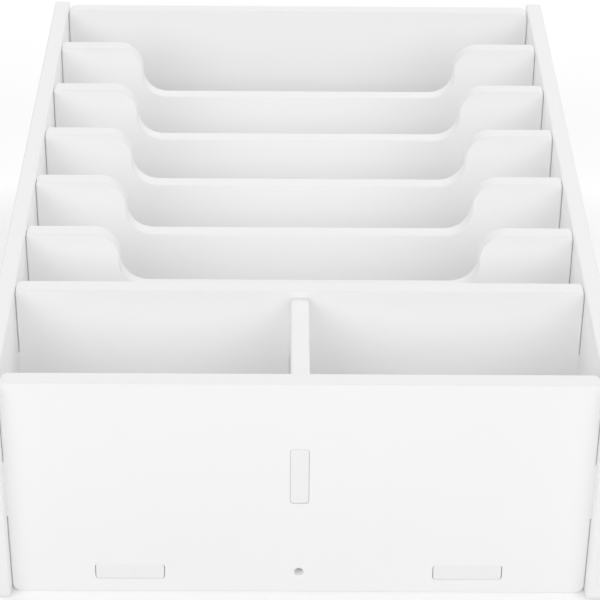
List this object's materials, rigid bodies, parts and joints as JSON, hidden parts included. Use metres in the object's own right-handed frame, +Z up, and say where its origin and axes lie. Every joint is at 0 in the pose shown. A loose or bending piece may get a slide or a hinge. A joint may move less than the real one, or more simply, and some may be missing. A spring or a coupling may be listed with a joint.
{
  "type": "drawer organizer insert",
  "caption": "Open-topped drawer organizer pushed together from tabbed plastic boards, with upright card slots behind scooped dividers and small compartments in front.",
  "frame": {"origin": "centre of the footprint, on the surface that the insert stands on", "axes": "+X to the right seen from the front, +Y to the rear along the row of slots, +Z up; the front panel faces -Y"},
  "size_m": [0.168, 0.237, 0.07],
  "materials": {
    "board": "satin white foamed plastic board, edges eased and slightly rougher than the faces"
  },
  "bodies": {
    "root": {"side_panel_left": "board", "side_panel_right": "board", "front_panel": "board", "rear_panel": "board", "bottom_panel": "board", "pocket_divider": "board", "scooped_divider_1": "board", "scooped_divider_2": "board", "scooped_divider_3": "board", "scooped_divider_4": "board", "scooped_divider_5": "board", "cross_divider": "board"}
  },
  "joints": []
}
